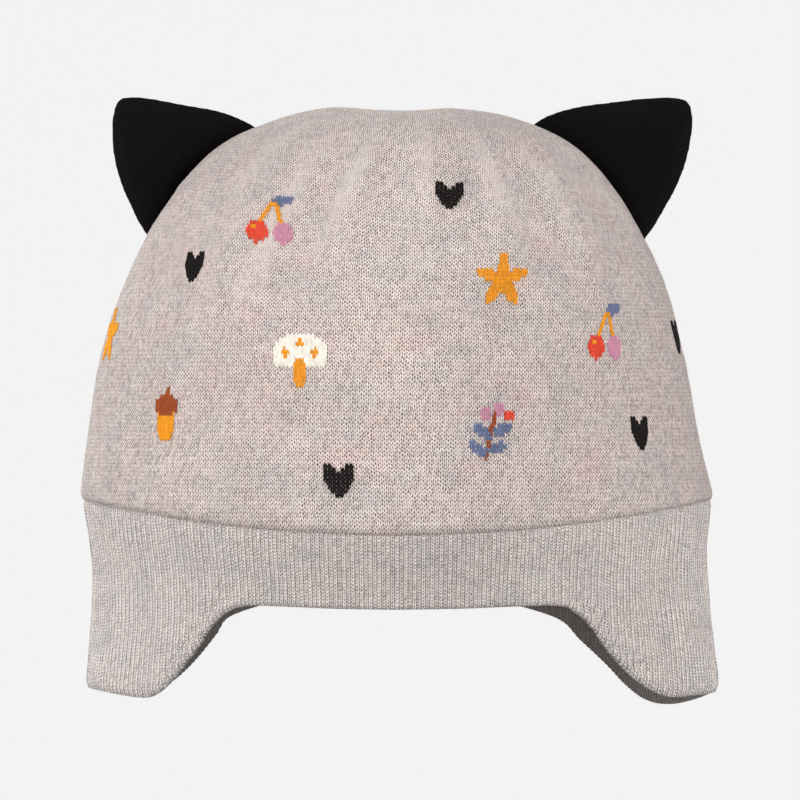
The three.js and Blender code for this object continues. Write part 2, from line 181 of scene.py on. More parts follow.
# Knitted-in motifs, in mm round their middle: each part is an ellipse turned to the left by
# degrees, and later parts cover earlier ones. A yarn named ground clears what it covers.
YARNS = {
    "black": "#0B0808", "white": "#F4EEE4", "orange": "#E8981F", "red": "#DE4A33",
    "pink": "#CB8FA6", "blue": "#6A7596", "brown": "#9A4A24",
}
HEART = table("x y wide high turn yarn", [
    (-1.45, 0, 3.5, 7.6, 25, "black"), (1.45, 0, 3.5, 7.6, -25, "black"),
])
MUSHROOM = table("x y wide high turn yarn", [
    (0, 0.6, 13, 10.4, 0, "white"), (0, -5.6, 22, 8, 0, "ground"), (0, -3.4, 3.2, 7, 0, "orange"),
    (-3.5, 1.2, 2, 2, 0, "orange"), (0, 3.2, 2.4, 2, 0, "orange"), (3.5, 1.2, 2, 2, 0, "orange"),
])
CHERRIES = table("x y wide high turn yarn", [
    (2.6, 5.2, 5.6, 2.6, 18, "blue"), (-1.3, 1.4, 1.1, 8, -30, "orange"),
    (1.8, 1.4, 1.1, 7.4, 18, "orange"), (-3.4, -3.4, 5.6, 5.6, 0, "red"),
    (3.2, -3.6, 5, 5.2, 0, "pink"), (-4.2, -2.4, 1.3, 1.7, 0, "orange"),
])
STAR = table("x y wide high turn yarn", [
    (0, 2, 2.7, 9.4, 0, "orange"), (-1.9, 0.6, 2.7, 9.4, 72, "orange"),
    (-1.2, -1.6, 2.7, 9.4, 144, "orange"), (1.2, -1.6, 2.7, 9.4, 216, "orange"),
    (1.9, 0.6, 2.7, 9.4, 288, "orange"),
])
SPRIG = table("x y wide high turn yarn", [
    (0, 0, 1.1, 13, -14, "brown"), (-3, -3, 2.3, 5, 60, "blue"), (1.6, -2.8, 2.3, 5, -74, "blue"),
    (-1.8, 0.8, 2.3, 5, 56, "blue"), (3, 1.4, 2.3, 5, -76, "blue"),
    (-1, 4.8, 2.8, 2.8, 0, "pink"), (2.2, 6.2, 2.8, 2.8, 0, "pink"),
    (4.6, 4.4, 2.6, 2.6, 0, "red"),
])
ACORN = table("x y wide high turn yarn", [
    (0, -1.8, 6.4, 8.4, 0, "orange"), (0, 2.2, 8.4, 4.6, 0, "brown"),
    (0.3, 5.2, 1.3, 3, -15, "brown"),
])

# Where the motifs lie, in mm of cloth. across: from the middle of the front or the back towards
# the viewer's right, up: from the seam's level at the sides.
MOTIF_PLACES = table("motif back across up", [
    (MUSHROOM, False, -21, 32), (HEART, False, 13, 74), (HEART, False, -53, 54),
    (HEART, False, 68, 16), (CHERRIES, False, -30, 66), (CHERRIES, False, 56, 39),
    (STAR, False, 26, 51), (SPRIG, False, 23, 15), (ACORN, False, -59, 19),
    (HEART, False, -12, 5), (HEART, False, 98, 38), (STAR, False, -94, 38),
    (SPRIG, True, -80, 42), (MUSHROOM, True, 19, 48), (HEART, True, -15, 76),
    (HEART, True, 54, 24), (CHERRIES, True, -40, 31), (ACORN, True, 48, 68),
    (SPRIG, True, -4, 15), (STAR, True, -50, 68), (HEART, True, -74, 12),
    (CHERRIES, True, 84, 44), (STAR, True, 96, 12),
])
LEG_RINGS = 4
LEG_SIDES = 6


def along(rows, name, place):
    """Column of a table at places between its rows: a cubic curve through the rows, whose slope at
    each row is half the step from the row before to the row after."""
    values = np.array([row[name] for row in rows], float)
    slopes = np.gradient(values)
    place = np.clip(place, 0, len(values) - 1)
    low = np.minimum(place.astype(int), len(values) - 2)
    t = place - low
    return (
        values[low] * (2 * t**3 - 3 * t**2 + 1)
        + slopes[low] * (t**3 - 2 * t**2 + t)
        + values[low + 1] * (3 * t**2 - 2 * t**3)
        + slopes[low + 1] * (t**3 - t**2)
    )


def place_of(rows, name, value):
    """Place between rows at which a rising column has a value, read from a fine sampling."""
    fine = np.linspace(0, len(rows) - 1, 1200)
    return np.interp(value, along(rows, name, fine), fine)


def bell(distance):
    """1 in the middle, 0 at a distance of 1: the square of one less the distance squared."""
    return (1 - np.clip(np.abs(distance), 0, 1) ** 2) ** 2


def edge_round(distance):
    """How far a rounded edge draws in: 1 at the edge and 0 at a distance of 1, as a quarter circle
    does."""
    return 1 - np.sqrt(1 - np.clip(1 - distance, 0, 1) ** 2)


def soft_noise(x, y, waves, length, seed):
    """Smooth noise from -1 to 1: a sum of sine waves of one rough length in seeded directions."""
    random = np.random.default_rng(seed)
    total = np.zeros(np.broadcast(x, y).shape)
    for _ in range(waves):
        turn, phase = random.uniform(0, 2 * math.pi, 2)
        pitch = 2 * math.pi / (length * random.uniform(0.7, 1.5))
        total += np.sin((x * math.cos(turn) + y * math.sin(turn)) * pitch + phase)
    return total / math.sqrt(waves) / 1.4


def seam_height(angle):
    """Height of the seam: level at the sides, lower by the dip times sine squared elsewhere."""
    return SIDE_SEAM - SEAM_DIP * np.sin(angle) ** 2


def crown_form(angle, place):
    """Crown before its folds: an oval at each height, whose half axes follow the section table."""
    angle, place = np.broadcast_arrays(angle, place)
    up = along(CROWN_SECTIONS, "up", place)
    front = np.sin(angle) < 0
    depth = np.where(
        front,
        FRONT_DEPTH * along(CROWN_SECTIONS, "front", place),
        BACK_DEPTH * along(CROWN_SECTIONS, "back", place),
    )
    seam = seam_height(angle)
    lean = -CROWN_LEAN * along(CROWN_SECTIONS, "lean", place)
    x = HALF_WIDTH * along(CROWN_SECTIONS, "side", place) * np.cos(angle) + lean
    return np.stack([x, depth * np.sin(angle), seam + up * (CROWN_TOP - seam)], -1)


def crease_bells(creases, name, angle, up):
    """Sum over creases of a bell across each times a bell along it, times the named column."""
    total = np.zeros(np.broadcast(angle, up).shape)
    for crease in creases:
        reach = (crease["top"] - crease["bottom"]) / 2
        run = (up - crease["bottom"]) / reach - 1
        turn = np.degrees(angle) - crease["angle"] - crease["lean"] * run
        total += crease[name] * bell(((turn + 180) % 360 - 180) / crease["spread"]) * bell(run)
    return total


def fold_lift(angle, place, form):
    """Lift of the folds, with the bumps and the dip on top and a slight unevenness of soft cloth."""
    up = along(CROWN_SECTIONS, "up", place)
    lift = CROWN_WALL * crease_bells(CROWN_FOLDS, "rise", angle, up)
    for bump in TOP_BUMPS:
        away = np.hypot(
            form[..., 0] - bump["across"] * HALF_WIDTH, form[..., 1] - bump["along"] * FRONT_DEPTH
        )
        lift += CROWN_WALL * bump["rise"] * bell(away / (2 * bump["spread"] * HALF_WIDTH))
    x, z = form[..., 0] + 0.6 * form[..., 1], form[..., 2]
    uneven = 0.16 * MM * soft_noise(x, z, 9, 15 * MM, SEED)
    uneven += 0.07 * MM * soft_noise(0.35 * x, z, 9, 5 * MM, SEED + 1)
    streaks = np.zeros_like(up * angle)
    random = np.random.default_rng(SEED + 4)
    for turns in (11, 17, 23, 31, 41, 53, 67):
        phase, drift = random.uniform(0, 2 * math.pi), random.uniform(-5, 5)
        streaks += np.cos(turns * angle + phase + drift * up) / math.sqrt(turns)
    uneven += 0.3 * MM * streaks * bell((up - 0.74) / 0.6)
    return lift + uneven * bell(2 * up - 1)


def outward(surface, angle, place):
    """Unit normal: the cross product of two short steps along the surface."""
    step = PLACE_STEP
    round_hat = surface(angle + step, place) - surface(angle - step, place)
    up_hat = surface(angle, place + step) - surface(angle, place - step)
    normal = np.cross(round_hat, up_hat)
    return normal / np.maximum(np.linalg.norm(normal, axis=-1, keepdims=True), 1e-12)


def crown_points(angle, place, distance):
    """Crown at a distance outside its face, measured along the normal, which turns level towards
    the seam."""
    last = len(CROWN_SECTIONS) - 1
    form = crown_form(angle, place)
    normal = outward(crown_form, angle, np.clip(place, PLACE_STEP, last - 0.01))
    normal[..., 2] *= np.clip(place, 0, 1)
    normal /= np.linalg.norm(normal, axis=-1, keepdims=True)
    at_top = (place >= last)[..., None]
    normal = np.where(at_top, np.array([0.0, 0.0, 1.0]), normal)
    offset = distance + fold_lift(angle, place, form)
    return form + normal * offset[..., None]


def mesh_object(name, points, faces):
    """New object from arrays of points and of quads, with triangles as quads whose last two
    corners are the same."""
    faces = np.asarray(faces)
    triangle = faces[:, 2] == faces[:, 3]
    keep = np.ones(faces.shape, bool)
    keep[triangle, 3] = False
    sizes = np.where(triangle, 3, 4)
    mesh = bpy.data.meshes.new(name)
    mesh.vertices.add(len(points))
    mesh.vertices.foreach_set("co", np.asarray(points, np.float32).ravel())
    mesh.loops.add(int(sizes.sum()))
    mesh.loops.foreach_set("vertex_index", faces[keep].astype(np.int32))
    mesh.polygons.add(len(faces))
    mesh.polygons.foreach_set("loop_start", (np.cumsum(sizes) - sizes).astype(np.int32))
    mesh.polygons.foreach_set("use_smooth", np.ones(len(faces), bool))
    mesh.update(calc_edges=True)
    mesh.validate()
    piece = bpy.data.objects.new(name, mesh)
    bpy.context.scene.collection.objects.link(piece)
    return piece, keep


def add_uv(piece, keep, corners):
    """UV map from an array of four corners for each face, less the corners that triangles lack."""
    layer = piece.data.uv_layers.new(name="knit")
    layer.data.foreach_set("uv", corners[keep].astype(np.float32).ravel())


def corner_uv(*corners):
    """Corners of faces as one array, from four pairs of across and up."""
    pairs = [np.stack(np.broadcast_arrays(*corner), -1) for corner in corners]
    return np.stack(pairs, -2).reshape(-1, 4, 2)


def add_values(piece, name, values):
    """One number for each point, for the material to read."""
    layer = piece.data.attributes.new(name, "FLOAT", "POINT")
    layer.data.foreach_set("value", values.astype(np.float32))


def round_grid(rows, columns, wrap):
    """Quads of a grid that closes round its columns, and round its rows too if it wraps."""
    r, c = np.meshgrid(np.arange(rows if wrap else rows - 1), np.arange(columns), indexing="ij")
    up, right = (r + 1) % rows, (c + 1) % columns
    quads = np.stack([r * columns + c, r * columns + right, up * columns + right, up * columns + c], -1)
    return quads, r, c


def knit_grid(points):
    """How far each point of a round grid lies along the cloth: across from the middle of the front
    or the back, and up from the seam's level, both in metres of cloth."""
    columns = points.shape[1]
    step = np.linalg.norm(np.roll(points, -1, axis=1) - points, axis=-1)
    length = np.concatenate([np.zeros((len(points), 1)), np.cumsum(step, axis=1)], axis=1)
    quarter = columns // 4
    back = length - length[:, quarter : quarter + 1]
    front = length - length[:, 3 * quarter : 3 * quarter + 1]
    is_front = np.arange(columns) >= columns // 2
    left = np.where(is_front, front[:, :-1], back[:, :-1])
    right = np.where(is_front, front[:, 1:], back[:, 1:])
    rise = np.linalg.norm(np.diff(points, axis=0), axis=-1)
    height = np.concatenate([np.zeros((1, columns)), np.cumsum(rise, axis=0)])
    height += points[0, :, 2] - SIDE_SEAM
    return left, right, height


def crown_grid(rows, distance):
    """Angles, places and points of one face of the crown. Places lie at equal steps of cloth."""
    last = len(CROWN_SECTIONS) - 1
    fine = np.linspace(0, last, 2000)
    path = crown_form(np.full(fine.shape, 1.5 * math.pi), fine)
    length = np.concatenate([[0], np.cumsum(np.linalg.norm(np.diff(path, axis=0), axis=-1))])
    place = np.interp(np.linspace(0, 1, rows + 1)[:-1] * length[-1], length, fine)[:, None]
    angle = (np.arange(CROWN_COLUMNS) / CROWN_COLUMNS * 2 * math.pi)[None, :]
    place, angle = np.broadcast_arrays(place, angle)
    return angle, place, crown_points(angle, place, distance)


def make_crown():
    """Crown: inner face from the pole down to the rim, the rolled rim, the outer face up to the
    pole. Near the rim the outer face draws in as a quarter circle does."""
    last = len(CROWN_SECTIONS) - 1
    angle, place, outer = crown_grid(CROWN_ROWS, 0.0)
    _, _, inner = crown_grid(CROWN_INNER_ROWS, -CROWN_WALL)
    roll = 2.4 * MM
    cloth_left, cloth_right, cloth_up = knit_grid(outer)
    from_rim = (cloth_up - cloth_up[:1]) / roll
    draw = (0.6 + 0.8 * np.sin(angle) ** 2) * MM * edge_round(from_rim)
    flat = outer[..., :2] / np.linalg.norm(outer[..., :2], axis=-1, keepdims=True)
    outer[..., :2] -= flat * draw[..., None]
    outer[..., 2] -= 0.1 * MM * np.clip(1 - from_rim, 0, 1)
    inner_down = inner[::-1]
    top_place = np.array([float(last)])
    inner_pole = crown_points(np.array([0.0]), top_place, -CROWN_WALL)
    outer_pole = crown_points(np.array([0.0]), top_place, 0.0)
    rings = np.concatenate([inner_down, outer])
    rows, columns = rings.shape[:2]
    quads, r, c = round_grid(rows, columns, wrap=False)
    around = np.arange(columns)
    beside = (around + 1) % columns
    pole = np.full(columns, rows * columns)
    first = np.stack([beside, around, pole, pole], -1)
    edge = (rows - 1) * columns
    final = np.stack([edge + around, edge + beside, pole + 1, pole + 1], -1)
    points = np.concatenate([rings.reshape(-1, 3), inner_pole, outer_pole])
    faces = np.concatenate([quads.reshape(-1, 4), first, final])
    piece, keep = mesh_object("crown_jersey", points, faces)

    in_left, in_right, in_up = knit_grid(inner)
    left = np.concatenate([in_left[::-1], cloth_left])
    right = np.concatenate([in_right[::-1], cloth_right])
    height = np.concatenate([in_up[::-1], cloth_up])
    next_c = (c + 1) % columns
    sides = corner_uv(
        (left[r, c], height[r, c]), (right[r, c], height[r, next_c]),
        (right[r + 1, c], height[r + 1, next_c]), (left[r + 1, c], height[r + 1, c]),
    )
    at_pole = (np.zeros(columns), height[-1].max() + COURSE)
    low = corner_uv((right[0], height[0, beside]), (left[0], height[0]), at_pole, at_pole)
    high = corner_uv((left[-1], height[-1]), (right[-1], height[-1, beside]), at_pole, at_pole)
    add_uv(piece, keep, np.concatenate([sides, low, high]))
    up = along(CROWN_SECTIONS, "up", place)
    gathered = 0.8 * bell(np.hypot(outer[..., 0], outer[..., 1]) / (20 * MM))
    pressed = np.clip(crease_bells(PRESSED_CREASES, "pressed", angle, up) + gathered, 0, 1)
    pressed = np.concatenate([np.zeros(inner_down.size // 3), pressed.ravel(), [0, 0]])
    add_values(piece, "pressed", pressed)
    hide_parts("crown")
    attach(piece, "root")
    return piece, outer, (cloth_left + cloth_right) / 2, cloth_up


def sample(grid, row, column):
    """Value of a grid that closes round its columns at fractional rows and columns: a straight
    blend of the four values round the place."""
    rows, columns = grid.shape[:2]
    row = np.clip(row, 0, rows - 1.001)
    r, c = np.floor(row).astype(int), np.floor(column).astype(int)
    s, t = row - r, column - c
    if grid.ndim == 3:
        s, t = s[..., None], t[..., None]
    a, b = grid[r, c % columns], grid[r, (c + 1) % columns]
    d, e = grid[r + 1, c % columns], grid[r + 1, (c + 1) % columns]
    return (a * (1 - t) + b * t) * (1 - s) + (d * (1 - t) + e * t) * s


def inside_part(part, x, y):
    """Whether points lie in a part's turned ellipse."""
    turn = math.radians(part["turn"])
    x, y = x - part["x"], y - part["y"]
    u = 2 * (x * math.cos(turn) + y * math.sin(turn)) / part["wide"]
    v = 2 * (y * math.cos(turn) - x * math.sin(turn)) / part["high"]
    return u**2 + v**2 <= 1


def motif_legs():
    """Wale, row, side, back flag and colour of each leg of a coloured stitch: a leg takes the yarn
    of the last part of its motif that its middle lies in."""
    reach = np.arange(-MOTIF_REACH, MOTIF_REACH + 1)
    wale, row, side = np.meshgrid(reach, reach, [-1.0, 1.0], indexing="ij")
    x = (wale + 0.5 + 0.25 * side) * WALE / MM
    y = (row + 0.35) * COURSE / MM
    legs = []
    for place in MOTIF_PLACES:
        worked = np.zeros(x.shape, bool)
        colour = np.zeros((*x.shape, 3))
        for part in place["motif"]:
            here = inside_part(part, x, y)
            worked[here] = part["yarn"] != "ground"
            if part["yarn"] != "ground":
                colour[here] = linear(YARNS[part["yarn"]])[:3]
        first_wale = round(place["across"] * MM / WALE)
        first_row = round(place["up"] * MM / COURSE)
        back = np.full(x.shape, float(place["back"]))
        columns = np.stack([wale + first_wale, row + first_row, side, back], -1)
        legs.append(np.concatenate([columns, colour], -1)[worked])
    return np.concatenate(legs)


def make_motifs(points, across, up):
    """Knitted-in stitches of coloured yarn. Each is two legs that lean together like a V. A leg is
    a bent tube of a few rings, flattened, that climbs from the wale's middle to its edge, placed in
    cloth coordinates and carried on to the crown's surface."""
    random = np.random.default_rng(SEED + 5)
    legs = motif_legs()
    side = legs[:, 2]
    t = np.linspace(0, 1, LEG_RINGS)[None, :, None]
    turn = (np.arange(LEG_SIDES) / LEG_SIDES * 2 * math.pi)[None, None, :]
    thick = np.sqrt(np.maximum(1 - (2 * t - 1) ** 4, 0)) * 0.9 + 0.1
    wide = 0.25 * thick * random.uniform(0.9, 1.12, (len(legs), 1, 1))
    wale = legs[:, 0, None, None] + side[:, None, None] * (0.13 + 0.27 * t) + wide * np.cos(turn)
    climb = -0.5 + 1.7 * t
    row = legs[:, 1, None, None] + climb + 0.1 * random.normal(0, 1, (len(legs), 1, 1)) * (1 - t)
    row = row + 0 * turn
    height = 0.04 * MM + 0.2 * MM * thick * np.sin(turn) + 0.1 * MM * np.sin(math.pi * t)
    target_x, target_y = (wale + 0.5) * WALE, row * COURSE

    is_back = np.broadcast_to(legs[:, 3, None, None] > 0.5, target_x.shape)
    quarter = CROWN_COLUMNS // 4
    start = np.where(is_back, quarter, 3 * quarter).astype(float)
    direction = np.where(is_back, -1.0, 1.0)
    r = target_y / COURSE + 8.0
    c = start
    for _ in range(SEARCH_ROUNDS):
        here_x, here_y = sample(across, r, c), sample(up, r, c)
        slope_x = sample(across, r, c + 1) - here_x
        slope_x = np.where(np.abs(slope_x) < 0.2 * MM, 0.8 * MM, slope_x)
        slope_y = np.maximum(sample(up, r + 1, c) - here_y, 0.3 * MM)
        c = c + np.clip((direction * target_x - here_x) / slope_x, -40, 40)
        c = np.clip(c, start - quarter + 1.01, start + quarter - 2.01)
        r = np.clip(r + (target_y - here_y) / slope_y, 0, CROWN_ROWS - 2.5)
    surface = sample(points, r, c)
    normal = np.cross(
        sample(points, r, c + 0.6) - sample(points, r, c - 0.6),
        sample(points, r + 0.6, c) - sample(points, np.maximum(r - 0.6, 0), c),
    )
    normal /= np.linalg.norm(normal, axis=-1, keepdims=True)
    body = surface + normal * height[..., None]
    count = LEG_RINGS * LEG_SIDES
    base = (np.arange(len(legs)) * count)[:, None, None, None]
    ring, k = np.meshgrid(np.arange(LEG_RINGS - 1), np.arange(LEG_SIDES), indexing="ij")
    beside = (k + 1) % LEG_SIDES
    quads = np.stack([
        ring * LEG_SIDES + k, ring * LEG_SIDES + beside,
        (ring + 1) * LEG_SIDES + beside, (ring + 1) * LEG_SIDES + k,
    ], -1)[None] + base
    half = np.array([[0, 1, 2, 3], [0, 3, 4, 5]])
    top = half + (LEG_RINGS - 1) * LEG_SIDES
    caps = np.stack([half[:, ::-1], top])[None] + base
    faces = np.concatenate([quads.reshape(len(legs), -1, 4), caps.reshape(len(legs), -1, 4)], axis=1)
    piece, _ = mesh_object("motif_stitches", body.reshape(-1, 3), faces.reshape(-1, 4))
    shade = random.uniform(0.86, 1.1, (len(legs), 1, 1)) * np.ones((1, count, 1))
    colour = np.concatenate([legs[:, None, 4:7] * shade, np.ones((len(legs), count, 1))], -1)
    layer = piece.data.color_attributes.new("yarn", "FLOAT_COLOR", "POINT")
    layer.data.foreach_set("color", colour.astype(np.float32).ravel())
    bm = bmesh.new()
    bm.from_mesh(piece.data)
    bmesh.ops.recalc_face_normals(bm, faces=bm.faces)
    bm.to_mesh(piece.data)
    bm.free()
    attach(piece, "root")
    return piece


def edge_height(angle):
    """Lower edge of the band: the flap table read by the share of the half width, apart for front
    and back and for both sides."""
    side = np.abs(np.cos(angle))
    front = np.sin(angle) < 0
    left = np.cos(angle) < 0
    drop = np.zeros(np.shape(angle))
    for name, here in [
        ("front_left", front & left), ("front_right", front & ~left),
        ("back_left", ~front & left), ("back_right", ~front & ~left),
    ]:
        drop = np.where(here, along(FLAP_EDGE, "drop", place_of(FLAP_EDGE, name, side)), drop)
    middle = np.where(front, BAND_HEIGHT, NAPE_HEIGHT)
    level = middle + (BAND_HEIGHT - middle) * side
    behind = np.where(front | left, 0, np.maximum(drop, 0))
    sag = RIGHT_SAG * behind * (1 - side**16)
    return SIDE_SEAM - SEAM_DIP - level - FLAP_DROP * (drop - FLAP_EDGE[0]["drop"]) - sag


def band_points(angle, share, inset):
    """Band at a share of the way from the seam to its lower edge, drawn in level by an inset."""
    top = seam_height(angle) - 0.5 * SEAM_GAP
    z = top + (edge_height(angle) - top) * share
    place = place_of(BAND_SECTIONS, "down", (top - z) / FLAP_REACH)
    left, right = along(BAND_SECTIONS, "left", place), along(BAND_SECTIONS, "right", place)
    out = left + (right - left) * (1 + np.cos(angle)) / 2
    depth = np.where(np.sin(angle) < 0, FRONT_DEPTH, BACK_DEPTH)
    x, y = HALF_WIDTH * out * np.cos(angle), depth * out * np.sin(angle)
    nx, ny = x / HALF_WIDTH**2, y / depth**2
    size = np.hypot(nx, ny)
    pull = CROWN_OVERHANG + inset
    return np.stack([x - nx / size * pull, y - ny / size * pull, z], -1)


def edge_distance(points, edge):
    """Rough distance of each point from the lower edge: its height over the edge times the cosine
    of the edge's slope there."""
    run = np.linalg.norm(np.roll(points[0], -1, 0)[:, :2] - np.roll(points[0], 1, 0)[:, :2], axis=-1)
    slope = (np.roll(edge, -1) - np.roll(edge, 1)) / run
    slope = sum(np.roll(slope, k) for k in range(-6, 7)) / 13
    return (points[..., 2] - edge) / np.sqrt(1 + slope**2), slope


def make_band():
    """Band with its flaps: outer face up from the lower edge, over the top, inner face down. The
    ribs lift both faces as a rounded wave, and a linked line follows the lower edge."""
    angle = np.arange(BAND_COLUMNS) / BAND_COLUMNS * 2 * math.pi
    rib_phase = angle * RIB_COUNT
    edge = edge_height(angle)
    out_share = (1 - np.linspace(0, 1, BAND_ROWS) ** 0.92)[:, None]
    in_share = np.linspace(0, 1, BAND_INNER_ROWS)[:, None]
    turns = np.broadcast_to(angle, (BAND_ROWS, BAND_COLUMNS))
    outer = band_points(turns, out_share, 0.0)
    away, slope = edge_distance(outer, edge)
    steep = np.clip(np.abs(slope) / 0.9, 0, 1)

    rib = RIB_DEPTH * (0.5 + 0.4 * np.cos(rib_phase) + 0.2 * np.cos(rib_phase / 2))
    wobble = 1 + 0.3 * soft_noise(outer[..., 0], outer[..., 2], 7, 9 * MM, SEED + 2)
    near_seam = np.clip((seam_height(angle) - outer[..., 2]) / (1.6 * MM), 0, 1)
    rib = rib * wobble * (0.35 + 0.65 * near_seam)
    linked = 0.42 * MM * bell((away - 2.3 * MM) / (1.0 * MM))
    edge_step = np.linalg.norm(np.diff(outer[-1], axis=0, append=outer[-1][:1]), axis=-1)
    tuck_place = (np.cumsum(edge_step) + 0.5 * away) / (2.2 * MM)
    tucks = np.sin(tuck_place * 2 * math.pi + 1.5 * np.sin(0.7 * tuck_place))
    tucks *= bell((away - 3.0 * MM) / (2.8 * MM))
    soft = 0.3 * MM * soft_noise(outer[..., 0] + outer[..., 1], outer[..., 2], 7, 24 * MM, SEED + 3)
    rounding = 0.75 * MM * edge_round(away / (1.2 * MM))
    rounding += 0.6 * MM * edge_round((seam_height(angle) - outer[..., 2]) / (1.3 * MM))
    lift = rib - linked * (0.35 + 0.65 * steep) + 0.3 * MM * steep * tucks - rounding
    lift += soft * np.clip(away / (8 * MM), 0, 1) * near_seam
    outer = band_points(turns, out_share, 0.9 * RIB_DEPTH - lift)

    turns = np.broadcast_to(angle, (BAND_INNER_ROWS, BAND_COLUMNS))
    inner = band_points(turns, in_share, BAND_WALL)
    away_in, _ = edge_distance(inner, edge)
    round_in = 0.6 * MM * edge_round(away_in / (1.2 * MM))
    inner_rib = RIB_DEPTH * (0.5 - 0.5 * np.cos(rib_phase)) * np.ones_like(in_share)
    inner = band_points(turns, in_share, BAND_WALL - inner_rib - round_in)

    rings = np.concatenate([outer, inner])
    rows = len(rings)
    quads, r, c = round_grid(rows, BAND_COLUMNS, wrap=True)
    piece, keep = mesh_object("rib_band_knit", rings.reshape(-1, 3), quads.reshape(-1, 4))
    share = np.arange(BAND_COLUMNS + 1) / BAND_COLUMNS * RIB_COUNT
    up = (rings[..., 2] - SIDE_SEAM) / MM
    above, beside = (r + 1) % rows, (c + 1) % BAND_COLUMNS
    add_uv(piece, keep, corner_uv(
        (share[c], up[r, c]), (share[c + 1], up[r, beside]),
        (share[c + 1], up[above, beside]), (share[c], up[above, c]),
    ))
    # Marks the inner face, which the rib material darkens as painted shade
    add_values(piece, "painted_inside_shade", np.repeat([0.0, 1.0], [outer.size // 3, inner.size // 3]))
    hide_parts("rib_band")
    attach(piece, "root")
    return piece


def linear(hex_colour):
    """Linear RGBA of an sRGB hex colour."""
    parts = [int(hex_colour[i : i + 2], 16) / 255 for i in (1, 3, 5)]
    return [p / 12.92 if p <= 0.04045 else ((p + 0.055) / 1.055) ** 2.4 for p in parts] + [1.0]


def add_node(tree, kind, inputs=(), output=0, **settings):
    """Adds a shader node and gives one of its outputs. Settings are the node's properties. Inputs,
    by number or by name, are outputs of other nodes, hex colours or plain values."""
    node = tree.nodes.new("ShaderNode" + kind)
    for name, value in settings.items():
        setattr(node, name, value)
    keyed = inputs if isinstance(inputs, dict) else dict(enumerate(inputs))
    for key, value in keyed.items():
        if isinstance(value, bpy.types.NodeSocket):
            tree.links.new(value, node.inputs[key])
        else:
            node.inputs[key].default_value = linear(value) if isinstance(value, str) else value
    return node.outputs[output] if node.outputs else None


def new_material(name):
    """Empty material, and the function that adds a node to it."""
    material = bpy.data.materials.new(name)
    material.use_nodes = True
    material.node_tree.nodes.clear()
    return material, functools.partial(add_node, material.node_tree)


def tinted(add, colour, other, value, gain=1.0, shift=0.0):
    """Colour turned to another by a share: a value times a gain plus a shift, cut off at 0 and 1."""
    share = add("Math", (value, gain, shift), operation="MULTIPLY_ADD", use_clamp=True)
    return add("Mix", {0: share, 6: colour, 7: other}, 2, data_type="RGBA")


def finish_cloth(add, colour, relief, strength, depth, **constants):
    """Cloth's shader: a colour, a relief as a bump of a depth in metres, and plain constants whose
    names have lines for blanks."""
    bump = add("Bump", {"Height": relief, "Strength": strength, "Distance": depth})
    inputs = {"Base Color": colour, "Normal": bump}
    inputs.update({name.replace("_", " "): value for name, value in constants.items()})
    add("OutputMaterial", {"Surface": add("BsdfPrincipled", inputs)})


def jersey_stitch(add, wale, course, slant):
    """Height of plain jersey, and numbers for each stitch. A wale is two legs side by side that
    lean together like a V: the course is pushed down by the slant times the distance from the
    wale's middle. A leg is a half sine across and a half sine along."""
    across = add("Math", (wale,), operation="FRACT")
    off_middle = add("Math", (across, 0.5), operation="SUBTRACT")
    from_middle = add("Math", (off_middle,), operation="ABSOLUTE")
    lag = add("Math", (from_middle, 2 * slant), operation="MULTIPLY")
    run = add("Math", (course, lag), operation="SUBTRACT")
    legs = add("Math", (wale, 2.0), operation="MULTIPLY")
    leg = add("Math", (legs,), operation="FRACT")
    leg_turn = add("Math", (leg, math.pi), operation="MULTIPLY")
    leg_sine = add("Math", (leg_turn,), operation="SINE")
    run_turn = add("Math", (run, math.pi), operation="MULTIPLY")
    run_wave = add("Math", (run_turn,), operation="SINE")
    run_sine = add("Math", (run_wave,), operation="ABSOLUTE")
    off_leg = add("Math", (1.0, leg_sine), operation="SUBTRACT")
    off_run = add("Math", (1.0, run_sine), operation="SUBTRACT")
    near_leg = add("Math", (legs,), operation="ROUND")
    near_run = add("Math", (run,), operation="ROUND")
    loose = add("TexWhiteNoise", {"Vector": add("CombineXYZ", (near_leg, near_run))})
    depth = add("Math", (loose, 1.5, 0.8), operation="MULTIPLY_ADD")
    crossing = add("Math", (off_leg, off_run), operation="MULTIPLY")
    hole = add("Math", (crossing, depth), operation="MULTIPLY")
    side_power = add("Math", (off_leg, 2.5), operation="POWER")
    side_gap = add("Math", (side_power, 0.3), operation="MULTIPLY")
    row_power = add("Math", (off_run, 2.0), operation="POWER")
    row_gap = add("Math", (row_power, 0.2), operation="MULTIPLY")
    seams = add("Math", (side_gap, row_gap), operation="ADD")
    gap = add("Math", (hole, seams), operation="ADD")
    height = add("Math", (1.0, gap), operation="SUBTRACT")
    stitch_column = add("Math", (legs,), operation="FLOOR")
    stitch_row = add("Math", (run,), operation="FLOOR")
    return height, stitch_column, stitch_row


